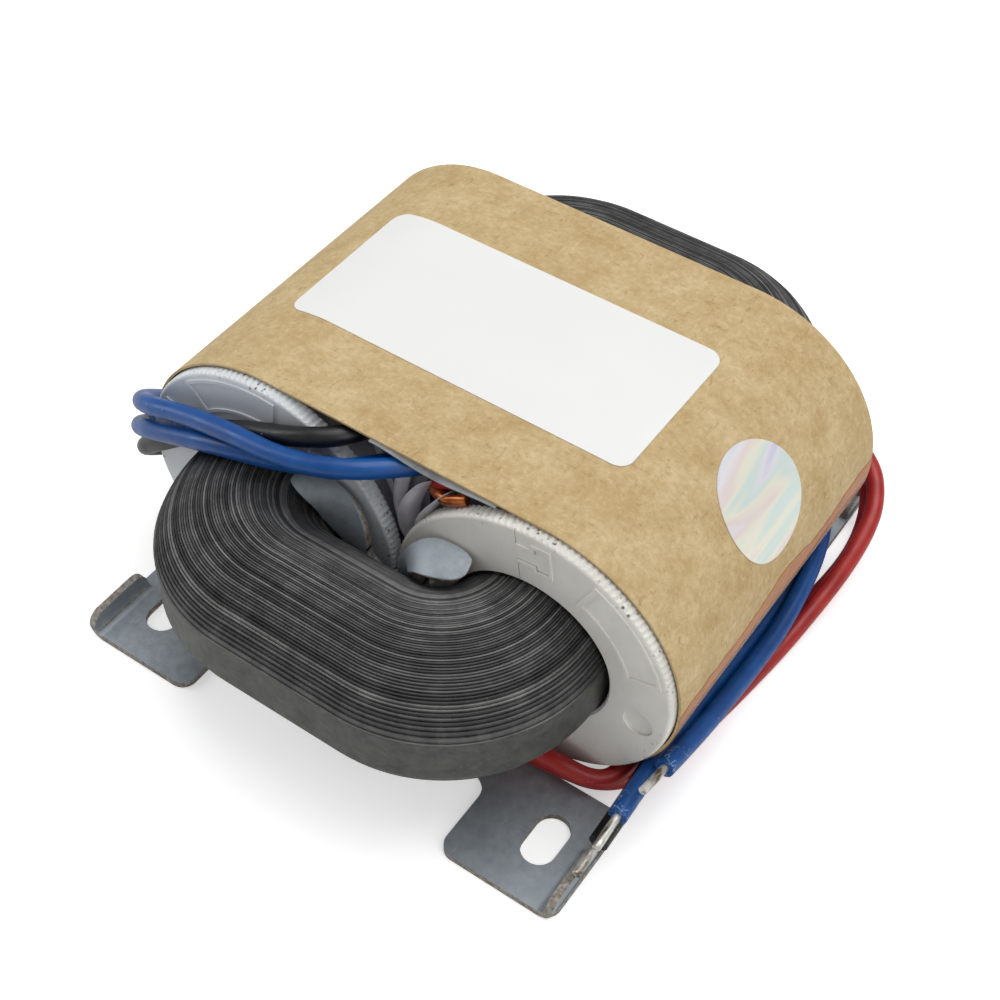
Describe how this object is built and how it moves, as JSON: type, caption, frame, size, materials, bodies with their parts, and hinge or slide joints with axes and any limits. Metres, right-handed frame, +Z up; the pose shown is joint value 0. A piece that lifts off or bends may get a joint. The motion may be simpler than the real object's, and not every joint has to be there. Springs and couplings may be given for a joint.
{
  "type": "r-core mains transformer",
  "caption": "Low-profile transformer: wound round-section ring core, two coils side by side in a paper sleeve, slotted sheet-metal feet and flying leads.",
  "frame": {"origin": "on the mounting plane, midway between the four slotted feet", "axes": "+Z up, X from coil to coil, Y along the coil axes, lead side of the top at -Y"},
  "size_m": [0.085, 0.0988, 0.0401],
  "materials": {
    "core_steel": "semi-gloss dark lacquer over wound strip edges",
    "kraft_paper": "matt tan kraft paper",
    "grey_card": "matt grey-white card",
    "clear_tape": "clear adhesive tape",
    "white_label": "smooth blank label",
    "foil_sticker": "pale iridescent sticker",
    "zinc_steel": "dull zinc-plated sheet",
    "cool_nylon": "moulded off-white nylon, slightly blue",
    "warm_nylon": "moulded off-white nylon, slightly warm",
    "copper_wire": "enamelled copper wire",
    "polyester_film": "polyester film tape",
    "blue_insulation": "smooth PVC",
    "black_insulation": "smooth PVC",
    "red_insulation": "smooth PVC",
    "tinned_copper": "tinned strands"
  },
  "bodies": {
    "root": {"wound_core": "core_steel", "kraft_paper_wrap": "kraft_paper", "top_insulation_card": "grey_card", "seam_tape": "clear_tape", "rating_label": "white_label", "inspection_sticker": "foil_sticker", "front_bracket": "zinc_steel", "rear_bracket": "zinc_steel", "left_bobbin_half_a": "cool_nylon", "left_bobbin_half_b": "cool_nylon", "left_primary_winding": "copper_wire", "left_interlayer_insulation": "polyester_film", "left_secondary_winding": "copper_wire", "left_coil_wrap": "polyester_film", "right_bobbin_half_a": "warm_nylon", "right_bobbin_half_b": "warm_nylon", "right_primary_winding": "copper_wire", "right_interlayer_insulation": "polyester_film", "right_secondary_winding": "copper_wire", "right_coil_wrap": "polyester_film", "blue_lead_1": "blue_insulation", "blue_lead_1_strands": "tinned_copper", "blue_lead_2": "blue_insulation", "blue_lead_2_strands": "tinned_copper", "black_lead": "black_insulation", "black_lead_strands": "tinned_copper", "red_lead_1": "red_insulation", "red_lead_1_strands": "tinned_copper", "red_lead_2": "red_insulation", "red_lead_2_strands": "tinned_copper"}
  },
  "joints": []
}
